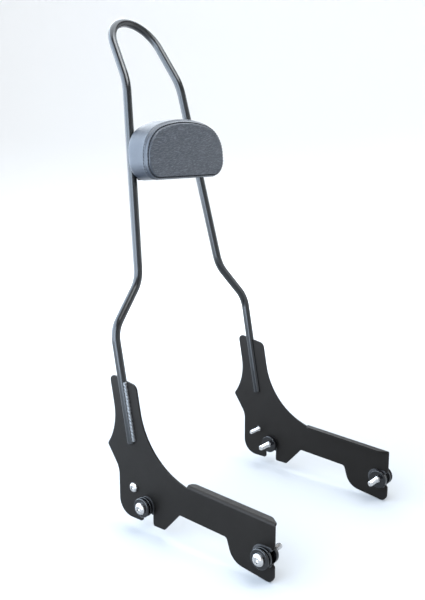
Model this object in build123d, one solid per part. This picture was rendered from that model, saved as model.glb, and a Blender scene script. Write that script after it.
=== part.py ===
from build123d import *
import os
from math import atan2, cos, radians, sin, sqrt, tan

# Sissy bar: a bent round bar welded into two folded side plates, with a back pad and a docking kit.
# Frame: +X towards the rider's left, +Y rearwards, +Z up, in millimetres.
# The origin lies midway between the two rear docking axes.

# Hoop bar, measured along its axis
BAR_DIAMETER = 12.7
BAR_END_CHAMFER = 1.0
LEG_SPACING = 300.0  # between the leg axes where they stand in the side plates
LEG_RAKE = 10.5  # lean of the legs to the rear, degrees
LEG_LENGTH = 163.0  # cut end to knee point
KNEE_REACH = 60.0  # knee point behind the rear docking axis
KNEE_HEIGHT = 244.3  # knee point above the rear docking axis
WAIST_SPACING = 183.6  # between the bar axes above the inward offset
WAIST_REACH = 8.4  # waist point behind the knee point
WAIST_RISE = 61.5  # waist point above the knee point
KICK_REACH = 51.0  # kick point behind the waist point
KICK_RISE = 281.1  # kick point above the waist point
TOP_LEAN = 31.5  # lean of the hoop's top to the rear, degrees
TOP_TAPER = 7.94  # convergence of each top run, degrees
TOP_RUN = 65.0  # kick point to the start of the arch
ARCH_RADIUS = 49.0
KNEE_BEND = 42.0
WAIST_BEND = 48.0
KICK_BEND = 85.0

# Side plates: sheet, docking notches and leg slot
SHEET = 3.0
DOCK_SPACING = 204.0  # rear to front docking axis
DOCK_DROP = 5.0  # front docking axis below the rear one
NOTCH_WIDTH = 21.0
NOTCH_MOUTH_ROUND = 3.0
FRONT_SLOT_RUN = 5.5  # round end of the front slot behind the docking axis
SLOT_CLEARANCE = 0.15  # on each side of the bar
SLOT_END_GAP = 0.3  # below the bar's cut end
SLOT_CORNER = 1.0

# Side plates: tower around the leg
EAR_REAR = 22.6  # tower edges from the leg axis
EAR_FRONT = 26.2
TOWER_HEIGHT = 175.9  # top edge above the docking axis, at the leg axis
TOWER_TOP_SLOPE = 9.9  # rise of the top edge to the rear, degrees
EAR_REAR_ROUND = 7.0
EAR_FRONT_ROUND = 10.0

# Side plates: rear wing and tail around the rear docking notch
WING_REACH = 78.3
WING_HEIGHT = 73.5
WING_TOP_ANGLE = 34.0  # wing edges from the vertical, degrees
WING_UNDER_ANGLE = 34.7
WING_ROUND = 4.0
TOWER_SWEEP = 80.0  # rounding between tower and wing
WING_SWEEP = 30.0  # rounding between wing and tail
TAIL_REACH = 55.8
TAIL_ROUND = 24.0
FOOT_DROP = 28.0  # bottom edge below the rear docking axis
TIP_REACH = 31.8  # pointed tip ahead of the rear docking axis
TIP_SLOPE = 48.0  # front edge of the tip, degrees
TIP_ROUND = 2.0

# Side plates: forward arm, its cut-out and the front leg
ARM_SLOPE = 3.4  # fall of the arm to the front, degrees
ARM_DEPTH = 43.2  # fold line to the cut-out
ARM_SWEEP = 110.0  # hollow curve from tower to arm
RAMP_SLOPE = 18.0  # end of that curve where it meets the lip, degrees
FRONT_MARGIN = 13.4  # front edge ahead of the front docking axis
FOLD_HEIGHT = 42.1  # fold line above the front docking axis, at the front edge
CUT_REACH = 62.5  # cut-out's front corner behind the front docking axis
CUT_ROUND = 5.0
FRONT_LEG_LEAN = 18.0  # rear edge of the front leg from the vertical, degrees
FRONT_LEG_DROP = 34.6  # bottom edge below the front docking axis
FRONT_LEG_SLOPE = 8.0  # rise of the bottom edge to the rear, degrees
HEEL_SWEEP = 25.0
TOE_ROUND = 10.0

# Side plates: folded lip along the arm
LIP_LENGTH = 144.7
LIP_WIDTH = 13.2
LIP_CORNER = 9.0
LIP_SETBACK = 12.0  # lip's free edge behind the plate's front edge
FOLD_INSIDE = 1.5  # inside radius of the fold

# Weld beads
BEAD_RADIUS = 3.3
BEAD_PITCH = 5.2
BEAD_SETBACK = 1.0  # bead axis from the bar's surface
BEAD_RISE = 0.4  # bead axis above the plate's face
BEAD_TOP_GAP = 4.0  # first ripple below the tower's top edge
BEAD_END_GAP = 6.0  # last ripple above the bar's cut end
TACK_RADIUS = 2.4
TACK_PITCH = 3.6
TACK_COUNT = 5
TACK_SETBACK = 0.9
TACK_RISE = 0.3

# Docking spools, turned, and their bolts
SPOOL_DIAMETER = 28.0
SPOOL_EDGE = 1.0
SPOOL_CAP = 3.1  # outer flange
SPOOL_GROOVE = 2.6
SPOOL_GROOVE_DIAMETER = 22.0
SPOOL_RING = 3.6  # second flange
SPOOL_SHOULDER = 2.1  # step against the liner, as wide as the groove
SPOOL_BASE = 6.0  # flange behind the plate
NECK_CLEARANCE = 0.3  # neck in its liner, each side
PLATE_PLAY = 0.3  # lined plate between shoulder and base, each side
DOCK_BOLT_DIAMETER = 10.0  # plain shoulder inside the spool
DOCK_THREAD_DIAMETER = 8.0
DOCK_BOLT_STUD = 22.0  # free threaded end behind the spool
DOCK_HEAD_DIAMETER = 17.0
DOCK_HEAD_HEIGHT = 5.2
DOCK_SOCKET = 6.0  # across flats
BOLT_CLEARANCE = 0.25  # on each side of a bolt in its hole
BOLT_CHAMFER = 1.0
HEAD_RIM = 0.42  # straight rim below a button head's dome, of the head's height
HEAD_BULGE = 0.12  # rise of the dome over its chord, of the chord's length
SOCKET_DEPTH = 0.55  # of the head's height

# Slot liners, snapped over the edges of the docking notches
LINER_WALL = 1.5
LINER_GAP = 0.1  # liner in its notch, each side
LINER_LAP = 2.7  # rims over the plate around the notch
LINER_RIM = 2.3  # outer rim
LINER_BACK = 1.5  # inner rim
LINER_ARM = 10.5  # arms beyond the docking axis
LINER_CORNER = 2.5

# Lock screws
LOCK_REACH = 26.1  # behind the rear docking axis
LOCK_HEIGHT = 19.4  # above the rear docking axis
LOCK_DIAMETER = 8.0  # plain shoulder inside the plate
LOCK_THREAD_DIAMETER = 6.0
LOCK_STUD = 22.0  # free threaded end behind the plate
LOCK_HEAD_DIAMETER = 14.0
LOCK_HEAD_HEIGHT = 4.4
LOCK_SOCKET = 5.0

# Back pad, in the plane of the bar's long runs: across, up from the waist points, forward of the axes
PAD_THICKNESS = 41.5  # at half the face's height
PAD_FACE_TILT = 7.0  # lean of the face to the front, against its back, degrees
PAD_BACK_BOTTOM = 140.5  # bottom edge of the back above the waist points
PAD_BACK_WIDTH = 182.0
PAD_BACK_SHOULDER_WIDTH = 172.0
PAD_BACK_SHOULDER_HEIGHT = 70.5
PAD_BACK_PEAK = 99.0  # where the crown's flanks would meet
PAD_BACK_CORNER = 27.0
PAD_BACK_CROWN = 150.0
PAD_FRONT_BOTTOM = 137.3
PAD_FRONT_WIDTH = 173.0
PAD_FRONT_SHOULDER_WIDTH = 169.0
PAD_FRONT_SHOULDER_HEIGHT = 70.7
PAD_FRONT_PEAK = 91.2
PAD_FRONT_CORNER = 25.0
PAD_FRONT_CROWN = 195.0
PAD_SHOULDER = 48.0
PAD_FRONT_ROUND = 6.0
PAD_BACK_ROUND = 8.0
PAD_GAP = 0.3  # pad's back ahead of the bar
BOARD_THICKNESS = 6.0
BOARD_INSET = 16.0  # board's edge inside the pad's outline
BOARD_GAP = 0.3

# Mount plate behind the pad
MOUNT_SHEET = 3.0
MOUNT_BOTTOM = 143.0  # bottom edge above the waist points
MOUNT_HEIGHT = 60.0
MOUNT_CORNER = 3.0
MOUNT_EDGE_GAP = 0.2  # plate's edge beside the bar
TACK_EDGE = 6.0  # tack welds from the plate's top and bottom edges

# Pad fasteners
PAD_SCREW_DIAMETER = 6.0
PAD_SCREW_THREAD_DIAMETER = 5.8
PAD_SCREW_HEAD_DIAMETER = 10.5
PAD_SCREW_HEAD_HEIGHT = 3.3
PAD_SCREW_SOCKET = 4.0
PAD_SCREW_SPREAD = 72.0
PAD_SCREW_ROWS = 30.0
PAD_SCREW_TIP = 2.0  # beyond the insert
PAD_WASHER_DIAMETER = 14.0
PAD_WASHER_THICKNESS = 1.2
TEE_FLANGE_DIAMETER = 18.0
TEE_FLANGE = 1.2
TEE_BARREL_DIAMETER = 8.4
TEE_BARREL_SHARE = 0.8  # barrel's length in the board's thickness
TEE_CLEARANCE = 0.2

BAR_RADIUS = BAR_DIAMETER / 2
OUTER_FACE = LEG_SPACING / 2 + SHEET / 2
SIDES = {"right": -1, "left": 1}


def slope(angle):
    """Unit direction in a side view, rising to the rear by an angle in degrees."""
    return Vector(cos(radians(angle)), sin(radians(angle)))


def meet(point_a, direction_a, point_b, direction_b):
    """Crossing point of two lines in a side view."""
    across = point_b - point_a
    turn = direction_a.X * direction_b.Y - direction_a.Y * direction_b.X
    reach = (across.X * direction_b.Y - across.Y * direction_b.X) / turn
    return point_a + direction_a * reach


def rounded(corners):
    """Face inside (point, radius) corners, each side tangent to its arcs; crowded arcs share their side."""
    count = len(corners)
    points = [Vector(*point) for point, _ in corners]
    reaches = []
    for i, (_, radius) in enumerate(corners):
        back = points[i - 1] - points[i]
        ahead = points[(i + 1) % count] - points[i]
        reaches.append(radius / tan(radians(back.get_angle(ahead)) / 2))
    eased = []
    for i in range(count):
        shares = [1.0]
        for j in (i - 1, (i + 1) % count):
            side = (points[j] - points[i]).length
            needed = reaches[i] + reaches[j]
            if needed > 0:
                shares.append(0.98 * side / needed)
        eased.append(reaches[i] * min(shares))
    edges = []
    for i in range(count):
        after = (i + 1) % count
        along = (points[after] - points[i]).normalized()
        start = points[i] + along * eased[i]
        end = points[after] - along * eased[after]
        edges.append(Edge.make_line(start, end))
        if eased[after] > 0:
            away = (points[(after + 1) % count] - points[after]).normalized()
            edges.append(Edge.make_tangent_arc(end, along, points[after] + away * eased[after]))
    return make_face(Wire(edges))


def leg_point(along, across):
    """Side-view point measured from the knee point: up along the leg, and square to it to the rear."""
    up = Vector(sin(radians(LEG_RAKE)), cos(radians(LEG_RAKE)))
    rear = Vector(cos(radians(LEG_RAKE)), -sin(radians(LEG_RAKE)))
    return Vector(KNEE_REACH, KNEE_HEIGHT) + up * along + rear * across


def tower_top(across):
    """How far below the knee point, along the leg, the tower's top edge lies."""
    crossing = (TOWER_HEIGHT - KNEE_HEIGHT) / cos(radians(LEG_RAKE))
    return crossing + across * tan(radians(LEG_RAKE + TOWER_TOP_SLOPE))


def hoop_bar():
    """One bar: leg, knee, waist, kick and arch, the same on both sides."""
    lean = radians(TOP_LEAN)
    taper = radians(TOP_TAPER)
    kick_half = ARCH_RADIUS * cos(taper) + TOP_RUN * sin(taper)
    apex_run = kick_half / tan(taper)
    knee = Vector(LEG_SPACING / 2, KNEE_REACH, KNEE_HEIGHT)
    foot = leg_point(-LEG_LENGTH, 0)
    waist = Vector(WAIST_SPACING / 2, KNEE_REACH + WAIST_REACH, KNEE_HEIGHT + WAIST_RISE)
    kick = Vector(kick_half, waist.Y + KICK_REACH, waist.Z + KICK_RISE)
    apex = Vector(0, kick.Y + apex_run * sin(lean), kick.Z + apex_run * cos(lean))
    left = [Vector(knee.X, foot.X, foot.Y), knee, waist, kick]
    right = [Vector(-p.X, p.Y, p.Z) for p in reversed(left)]
    bends = [KNEE_BEND, WAIST_BEND, KICK_BEND]
    path = FilletPolyline(*left, apex, *right, radius=bends + [ARCH_RADIUS] + bends[::-1])
    start = Plane(origin=path @ 0, z_dir=path % 0)
    bar = sweep(start * Circle(BAR_RADIUS), path=path)
    ends = bar.edges().filter_by(GeomType.CIRCLE).sort_by(Axis.Z)[:2]
    return chamfer(ends, BAR_END_CHAMFER)


def front_dock():
    return Vector(-DOCK_SPACING, -DOCK_DROP)


def fold_front():
    """Front end of the fold line, in the side view."""
    return front_dock() + Vector(-FRONT_MARGIN, FOLD_HEIGHT)


def plate_outline():
    """Flat part of a side plate in the side view, with its notches, leg slot and screw hole."""
    leg_up = leg_point(1, 0) - leg_point(0, 0)
    arm = slope(ARM_SLOPE)
    dock = front_dock()
    fold = fold_front()
    top_line = (leg_point(tower_top(0), 0), slope(TOWER_TOP_SLOPE))
    lip_end = fold + arm * LIP_LENGTH
    cut_line = (fold - Vector(-arm.Y, arm.X) * ARM_DEPTH, arm)
    rear_line = (leg_point(0, EAR_REAR), leg_up)
    front_line = (leg_point(0, -EAR_FRONT), leg_up)
    wing = Vector(WING_REACH, WING_HEIGHT)
    tip = Vector(-TIP_REACH, -FOOT_DROP)
    tail = Vector(TAIL_REACH, -FOOT_DROP)
    upright = Vector(0, 1)
    cut_front = meet(*cut_line, dock + Vector(CUT_REACH, 0), upright)
    sole_line = (dock - Vector(0, FRONT_LEG_DROP), slope(FRONT_LEG_SLOPE))
    corners = [
        (meet(*rear_line, *top_line), EAR_REAR_ROUND),
        (meet(*front_line, *top_line), EAR_FRONT_ROUND),
        (meet(*front_line, lip_end, slope(RAMP_SLOPE)), ARM_SWEEP),
        (lip_end, 0),
        (fold, 0),
        (meet(*sole_line, fold, upright), TOE_ROUND),
        (meet(*sole_line, cut_front, slope(90 - FRONT_LEG_LEAN)), HEEL_SWEEP),
        (cut_front, CUT_ROUND),
        (meet(*cut_line, tip, slope(180 - TIP_SLOPE)), CUT_ROUND),
        (tip, TIP_ROUND),
        (tail, TAIL_ROUND),
        (meet(tail, upright, wing, slope(90 - WING_UNDER_ANGLE)), WING_SWEEP),
        (wing, WING_ROUND),
        (meet(*rear_line, wing, slope(90 + WING_TOP_ANGLE)), TOWER_SWEEP),
    ]
    notch = NOTCH_WIDTH / 2
    rear_notch = Circle(notch) + Pos(0, -FOOT_DROP) * Rectangle(NOTCH_WIDTH, 2 * FOOT_DROP)
    reach = 2 * FRONT_MARGIN
    front_notch = Circle(notch) + Pos(-reach / 2) * Rectangle(reach, NOTCH_WIDTH)
    front_notch = Pos(FRONT_SLOT_RUN) * front_notch
    face = rounded(corners) - rear_notch - Pos(dock) * front_notch
    mouths = [Vector(side * notch, -FOOT_DROP) for side in (-1, 1)]
    mouths += [dock + Vector(-FRONT_MARGIN, side * notch) for side in (-1, 1)]
    face = fillet([face.vertices().sort_by_distance(m)[0] for m in mouths], NOTCH_MOUTH_ROUND)
    slot_half = BAR_RADIUS + SLOT_CLEARANCE
    slot_end = -LEG_LENGTH - SLOT_END_GAP
    slot = rounded([
        (leg_point(slot_end, -slot_half), SLOT_CORNER),
        (leg_point(slot_end, slot_half), SLOT_CORNER),
        (leg_point(0, slot_half), 0),
        (leg_point(0, -slot_half), 0),
    ])
    lock_hole = Pos(LOCK_REACH, LOCK_HEIGHT) * Circle(LOCK_DIAMETER / 2 + BOLT_CLEARANCE)
    return face - slot - lock_hole


def right_plate():
    """Right-hand plate: flat sheet, the fold and its lip, as one piece."""
    flat = Plane.YZ.offset(-OUTER_FACE) * extrude(plate_outline(), SHEET)
    outside = FOLD_INSIDE + SHEET
    end = fold_front() + slope(ARM_SLOPE) * LIP_LENGTH
    forward = slope(ARM_SLOPE) * -1
    fold_plane = Plane(origin=(-OUTER_FACE, end.X, end.Y), x_dir=(1, 0, 0), z_dir=(0, forward.X, forward.Y))
    quarter = Pos(outside, 0) * (Circle(outside) - Circle(FOLD_INSIDE))
    quarter &= Pos(outside / 2, outside / 2) * Rectangle(outside, outside)
    bend = extrude(quarter, LIP_LENGTH)
    tread = rounded([
        ((outside, 0), 0),
        ((LIP_WIDTH, 0), LIP_CORNER),
        ((LIP_WIDTH, LIP_LENGTH - LIP_SETBACK), LIP_CORNER),
        ((outside, LIP_LENGTH), 0),
    ])
    lip_plane = Plane(origin=(0, outside, 0), x_dir=(1, 0, 0), z_dir=(0, -1, 0))
    return flat + fold_plane * (bend + lip_plane * extrude(tread, SHEET))


def bead(place, count, pitch, radius):
    """Row of overlapping ripples along a plane's Z axis, the first one around its origin."""
    cusp = sqrt(radius**2 - (pitch / 2) ** 2)
    start = (0, -radius)
    outline = Curve()
    for i in range(count):
        middle = i * pitch
        end = (cusp, middle + pitch / 2) if i < count - 1 else (0, middle + radius)
        outline += ThreePointArc(start, (radius, middle), end)
        start = end
    outline += Line(start, (0, -radius))
    return place * revolve(make_face(Plane.XZ * outline), Axis.Z)


def right_weld():
    """Rippled bead in the outer corner ahead of the right leg, seated on the plate and against the bar."""
    across = -(BAR_RADIUS + BEAD_SETBACK)
    last = -LEG_LENGTH + BEAD_END_GAP
    length = tower_top(across) - BEAD_TOP_GAP - last
    count = int(length / BEAD_PITCH) + 1
    upwards = (0, sin(radians(LEG_RAKE)), cos(radians(LEG_RAKE)))
    spot = leg_point(last, across)
    row = Plane(origin=(-OUTER_FACE - BEAD_RISE, spot.X, spot.Y), x_dir=(1, 0, 0), z_dir=upwards)
    foot = leg_point(-LEG_LENGTH, 0)
    leg_plane = Plane(origin=(-LEG_SPACING / 2, foot.X, foot.Y), x_dir=(1, 0, 0), z_dir=upwards)
    leg = leg_plane * extrude(Circle(BAR_RADIUS), LEG_LENGTH)
    outside = Pos(-OUTER_FACE, 0, 0) * Box(
        BAR_DIAMETER, 4 * KNEE_HEIGHT, 4 * KNEE_HEIGHT, align=(Align.MAX, Align.CENTER, Align.CENTER)
    )
    return (bead(row, count, length / (count - 1), BEAD_RADIUS) & outside) - leg


def turned(profile):
    """Solid of revolution about the local Z axis from (radius, height) points."""
    face = make_face(Plane.XZ * Polyline(*profile, close=True))
    return revolve(face, Axis.Z)


def button_screw(diameter, grip, thread_diameter, thread, head_diameter, head_height, socket):
    """Button-head socket screw along local Z, its head's seat at zero, plain shank and thread below."""
    head = head_diameter / 2
    crown = socket / 2 * 1.35
    shank = diameter / 2
    core = thread_diameter / 2
    length = grip + thread
    rim = head_height * HEAD_RIM
    fall = head_height - rim
    bulge = ((head + crown) / 2 + HEAD_BULGE * fall, (head_height + rim) / 2 + HEAD_BULGE * (head - crown))
    edges = Polyline(
        (crown, head_height), (0, head_height), (0, -length), (core - BOLT_CHAMFER, -length),
        (core, BOLT_CHAMFER - length), (core, -grip), (shank, -grip), (shank, 0), (head, 0), (head, rim),
    )
    dome = ThreePointArc((head, rim), bulge, (crown, head_height))
    body = revolve(make_face(Plane.XZ * (edges + dome)), Axis.Z)
    depth = head_height * SOCKET_DEPTH
    hexagon = RegularPolygon(socket / 2, 6, major_radius=False)
    return body - Pos(0, 0, head_height - depth) * extrude(hexagon, depth)


def neck_radius():
    return NOTCH_WIDTH / 2 - LINER_GAP - LINER_WALL - NECK_CLEARANCE


def spool_step():
    """Height of the spool's shoulder, where the lined plate stops, above the sheet's middle."""
    return SHEET / 2 + LINER_RIM + PLATE_PLAY


def spool_base():
    """Depth of the spool's base flange below the sheet's middle."""
    return SHEET / 2 + LINER_BACK + PLATE_PLAY


def spool_front():
    """Height of a docking spool's outer face above the sheet's middle."""
    return spool_step() + SPOOL_SHOULDER + SPOOL_RING + SPOOL_GROOVE + SPOOL_CAP


def spool():
    """Docking spool along local Z, with zero at the middle of the sheet and the outside above."""
    flange = SPOOL_DIAMETER / 2
    neck = neck_radius()
    groove = SPOOL_GROOVE_DIAMETER / 2
    bore = DOCK_BOLT_DIAMETER / 2 + BOLT_CLEARANCE
    edge = SPOOL_EDGE / 2
    seat = -spool_base()
    base = seat - SPOOL_BASE
    step = spool_step()
    ring = step + SPOOL_SHOULDER
    dip = ring + SPOOL_RING
    cap = dip + SPOOL_GROOVE
    front = spool_front()
    return turned([
        (bore, base), (flange - SPOOL_EDGE, base), (flange, base + SPOOL_EDGE), (flange, seat), (neck, seat),
        (neck, step), (groove, step), (groove, ring), (flange - edge, ring), (flange, ring + edge),
        (flange, dip - edge), (flange - edge, dip), (groove, dip), (groove, cap), (flange - edge, cap),
        (flange, cap + edge), (flange, front - SPOOL_EDGE), (flange - SPOOL_EDGE, front), (bore, front),
    ])


def u_shape(half, run, arm):
    """Side-view U around a docking axis at zero: round end behind it, arms to the front."""
    return Pos(run) * Circle(half) + Pos((run - arm) / 2) * Rectangle(run + arm, 2 * half)


def right_liner(spot, run, turn):
    """Liner of a docking notch in the right plate, opening forwards and then turned."""
    notch = NOTCH_WIDTH / 2 - LINER_GAP
    rim = u_shape(NOTCH_WIDTH / 2 + LINER_LAP, run, LINER_ARM)
    rim = fillet(rim.vertices().sort_by(Axis.X)[:2], LINER_CORNER)
    passage = u_shape(notch - LINER_WALL, run, 2 * LINER_ARM)
    body = extrude(u_shape(notch, run, LINER_ARM) - passage, SHEET)
    body += extrude(rim - passage, -LINER_RIM)
    body += Pos(0, 0, SHEET) * extrude(rim - passage, LINER_BACK)
    place = Plane.YZ.offset(-OUTER_FACE) * Pos(spot.X, spot.Y) * Rot(0, 0, turn)
    return place * body


def docking_bolt():
    grip = spool_front() + spool_base() + SPOOL_BASE
    screw = button_screw(
        DOCK_BOLT_DIAMETER, grip, DOCK_THREAD_DIAMETER, DOCK_BOLT_STUD,
        DOCK_HEAD_DIAMETER, DOCK_HEAD_HEIGHT, DOCK_SOCKET,
    )
    return Pos(0, 0, spool_front()) * screw


def lock_screw():
    screw = button_screw(
        LOCK_DIAMETER, SHEET, LOCK_THREAD_DIAMETER, LOCK_STUD,
        LOCK_HEAD_DIAMETER, LOCK_HEAD_HEIGHT, LOCK_SOCKET,
    )
    return Pos(0, 0, SHEET / 2) * screw


def on_plate(side, spot):
    """Plane at a side-view spot in the middle of a plate's sheet, its Z axis pointing outwards."""
    return Plane(origin=(side * LEG_SPACING / 2, spot.X, spot.Y), x_dir=(0, 1, 0), z_dir=(side, 0, 0))


def pad_plane():
    """Plane of the bar's long runs: X across, Y up along the lean, Z forwards, zero between the waists."""
    lean = atan2(KICK_REACH, KICK_RISE)
    return Plane(
        origin=(0, KNEE_REACH + WAIST_REACH, KNEE_HEIGHT + WAIST_RISE),
        x_dir=(1, 0, 0),
        z_dir=(0, -cos(lean), sin(lean)),
    )


def run_taper():
    """Inward lean of each long run in the pad's plane, in radians."""
    taper = radians(TOP_TAPER)
    kick_half = ARCH_RADIUS * cos(taper) + TOP_RUN * sin(taper)
    return atan2(WAIST_SPACING / 2 - kick_half, sqrt(KICK_REACH**2 + KICK_RISE**2))


def d_shape(bottom, width, shoulder_width, shoulder_height, peak, corner, crown):
    """D-shaped outline in the pad's plane: flat bottom, leaning sides and a crowned top."""
    half = width / 2
    shoulder = shoulder_width / 2
    return rounded([
        ((-half, bottom), corner),
        ((half, bottom), corner),
        ((shoulder, bottom + shoulder_height), PAD_SHOULDER),
        ((0, bottom + peak), crown),
        ((-shoulder, bottom + shoulder_height), PAD_SHOULDER),
    ])


def pad_rear_face():
    return d_shape(
        PAD_BACK_BOTTOM, PAD_BACK_WIDTH, PAD_BACK_SHOULDER_WIDTH, PAD_BACK_SHOULDER_HEIGHT,
        PAD_BACK_PEAK, PAD_BACK_CORNER, PAD_BACK_CROWN,
    )


def pad_front_face():
    """Front outline, leaning forwards against the back about a line at half its height."""
    face = d_shape(
        PAD_FRONT_BOTTOM, PAD_FRONT_WIDTH, PAD_FRONT_SHOULDER_WIDTH, PAD_FRONT_SHOULDER_HEIGHT,
        PAD_FRONT_PEAK, PAD_FRONT_CORNER, PAD_FRONT_CROWN,
    )
    middle = PAD_FRONT_BOTTOM + PAD_FRONT_SHOULDER_HEIGHT / 2
    return Pos(0, middle, PAD_THICKNESS) * Rot(PAD_FACE_TILT, 0, 0) * Pos(0, -middle, 0) * face


def pad_back():
    """Back of the pad ahead of the bar's axes."""
    return BAR_RADIUS + PAD_GAP


def screw_spots():
    """Pad screw places in the pad's plane."""
    middle = MOUNT_BOTTOM + MOUNT_HEIGHT / 2
    return [
        Vector(x * PAD_SCREW_SPREAD / 2, middle + y * PAD_SCREW_ROWS / 2) for x in (-1, 1) for y in (-1, 1)
    ]


def tee_nut():
    """Insert along local Z with its flange on the board's front, zero at the board's back."""
    hole = PAD_SCREW_DIAMETER / 2 + BOLT_CLEARANCE
    barrel = TEE_BARREL_DIAMETER / 2
    flange = TEE_FLANGE_DIAMETER / 2
    foot = BOARD_THICKNESS * (1 - TEE_BARREL_SHARE)
    top = BOARD_THICKNESS + TEE_FLANGE
    return turned([
        (hole, foot), (barrel, foot), (barrel, BOARD_THICKNESS),
        (flange, BOARD_THICKNESS), (flange, top), (hole, top),
    ])


def pad_board():
    board = extrude(offset(pad_rear_face(), -BOARD_INSET), BOARD_THICKNESS)
    hole = extrude(Circle(TEE_BARREL_DIAMETER / 2 + TEE_CLEARANCE), BOARD_THICKNESS)
    for spot in screw_spots():
        board -= Pos(spot.X, spot.Y) * hole
    return board


def pad_cushion():
    """Upholstered pad with a pocket for its board, inserts and screw tips."""
    cushion = loft([pad_rear_face(), pad_front_face()])
    cushion = fillet(cushion.faces().sort_by(Axis.Z)[-1].edges(), PAD_FRONT_ROUND)
    cushion = fillet(cushion.faces().sort_by(Axis.Z)[0].edges(), PAD_BACK_ROUND)
    cushion -= extrude(offset(pad_rear_face(), BOARD_GAP - BOARD_INSET), BOARD_THICKNESS)
    deep = BOARD_THICKNESS + TEE_FLANGE + BOARD_GAP
    pocket = extrude(Circle(TEE_FLANGE_DIAMETER / 2 + BOARD_GAP), deep)
    pocket += extrude(Circle(PAD_SCREW_DIAMETER / 2 + BOARD_GAP), deep + PAD_SCREW_TIP)
    for spot in screw_spots():
        cushion -= Pos(spot.X, spot.Y) * pocket
    return cushion


def mount_edge():
    """Distance of the mount plate's edges from the bar's axes."""
    rear = pad_back() - MOUNT_SHEET
    return sqrt(BAR_RADIUS**2 - rear**2) + MOUNT_EDGE_GAP


def mount_plate():
    """Cross-plate between the long runs, in front of their axes, drawn with its front face at zero."""
    lean = run_taper()
    corners = []
    for side, height in ((-1, MOUNT_HEIGHT), (-1, 0), (1, 0), (1, MOUNT_HEIGHT)):
        up = MOUNT_BOTTOM + height
        half = WAIST_SPACING / 2 - up * tan(lean) - mount_edge() / cos(lean)
        corners.append(((side * half, up), MOUNT_CORNER))
    plate = extrude(rounded(corners), -MOUNT_SHEET)
    hole = extrude(Circle(PAD_SCREW_DIAMETER / 2 + BOLT_CLEARANCE), -MOUNT_SHEET)
    for spot in screw_spots():
        plate -= Pos(spot.X, spot.Y) * hole
    return plate


def mount_welds():
    """Short rippled tacks behind the mount plate, one near each corner, in the pad's plane."""
    lean = run_taper()
    rear = pad_back() - MOUNT_SHEET
    behind = Pos(0, 0, rear) * Box(
        2 * WAIST_SPACING, 4 * KICK_RISE, BAR_DIAMETER, align=(Align.CENTER, Align.CENTER, Align.MAX)
    )
    span = TACK_PITCH * (TACK_COUNT - 1)
    along = Vector(sin(lean), cos(lean))
    inward = Vector(cos(lean), -sin(lean))
    foot = Vector(-WAIST_SPACING / 2, 0)
    row = foot + inward * (mount_edge() + TACK_SETBACK)
    run = Plane(origin=(foot.X, foot.Y, 0), z_dir=(along.X, along.Y, 0))
    bar = run * extrude(Circle(BAR_RADIUS), KICK_RISE)
    tacks = []
    for start in (MOUNT_BOTTOM + TACK_EDGE, MOUNT_BOTTOM + MOUNT_HEIGHT - TACK_EDGE - span):
        spot = row + along * (start / cos(lean))
        line = Plane(origin=(spot.X, spot.Y, rear - TACK_RISE), x_dir=(0, 0, 1), z_dir=(along.X, along.Y, 0))
        tack = (bead(line, TACK_COUNT, TACK_PITCH, TACK_RADIUS) & behind) - bar
        tacks += [tack, mirror(tack, about=Plane.YZ)]
    return tacks


def pad_fasteners():
    """Inserts, washers and screws of the pad, each a group in the pad's plane."""
    behind = pad_back() - MOUNT_SHEET
    grip = PAD_WASHER_THICKNESS + MOUNT_SHEET
    thread = BOARD_THICKNESS + TEE_FLANGE + PAD_SCREW_TIP
    screw = Rot(180, 0, 0) * button_screw(
        PAD_SCREW_DIAMETER, grip, PAD_SCREW_THREAD_DIAMETER, thread,
        PAD_SCREW_HEAD_DIAMETER, PAD_SCREW_HEAD_HEIGHT, PAD_SCREW_SOCKET,
    )
    washer = extrude(Circle(PAD_WASHER_DIAMETER / 2), -PAD_WASHER_THICKNESS)
    washer -= extrude(Circle(PAD_SCREW_DIAMETER / 2 + BOLT_CLEARANCE), -PAD_WASHER_THICKNESS)
    groups = {"pad_tee_nuts": [], "pad_washers": [], "pad_screws": []}
    for spot in screw_spots():
        groups["pad_tee_nuts"].append(Pos(spot.X, spot.Y, pad_back()) * tee_nut())
        groups["pad_washers"].append(Pos(spot.X, spot.Y, behind) * washer)
        groups["pad_screws"].append(Pos(spot.X, spot.Y, behind - PAD_WASHER_THICKNESS) * screw)
    return groups


def assembly():
    """Every piece in place, by node name."""
    pad = pad_plane()
    front = Pos(0, 0, pad_back())
    plate = right_plate()
    weld = right_weld()
    nodes = {
        "hoop_bar": hoop_bar(),
        "right_side_plate": plate,
        "left_side_plate": mirror(plate, about=Plane.YZ),
        "right_weld_bead": weld,
        "left_weld_bead": mirror(weld, about=Plane.YZ),
        "pad_mount_plate": pad * (front * mount_plate()),
        "mount_plate_welds": Compound(children=[pad * tack for tack in mount_welds()]),
        "pad_cushion": pad * (front * pad_cushion()),
        "pad_base_board": pad * (front * pad_board()),
    }
    for name, pieces in pad_fasteners().items():
        nodes[name] = Compound(children=[pad * piece for piece in pieces])
    docks = {"rear": Vector(0, 0), "front": front_dock()}
    openings = {"rear": (0, 90), "front": (FRONT_SLOT_RUN, 0)}
    for side_name, side in SIDES.items():
        for dock_name, spot in docks.items():
            place = on_plate(side, spot)
            nodes[f"{side_name}_{dock_name}_docking_spool"] = place * spool()
            nodes[f"{side_name}_{dock_name}_docking_bolt"] = place * docking_bolt()
            liner = right_liner(spot, *openings[dock_name])
            if side > 0:
                liner = mirror(liner, about=Plane.YZ)
            nodes[f"{side_name}_{dock_name}_slot_liner"] = liner
        nodes[f"{side_name}_lock_screw"] = on_plate(side, Vector(LOCK_REACH, LOCK_HEIGHT)) * lock_screw()
    return nodes


os.makedirs("parts", exist_ok=True)
for node, shape in assembly().items():
    export_step(shape, f"parts/{node}.step")
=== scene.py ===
from math import atan2, ceil, cos, floor, pi, radians, sin, sqrt, tan

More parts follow.
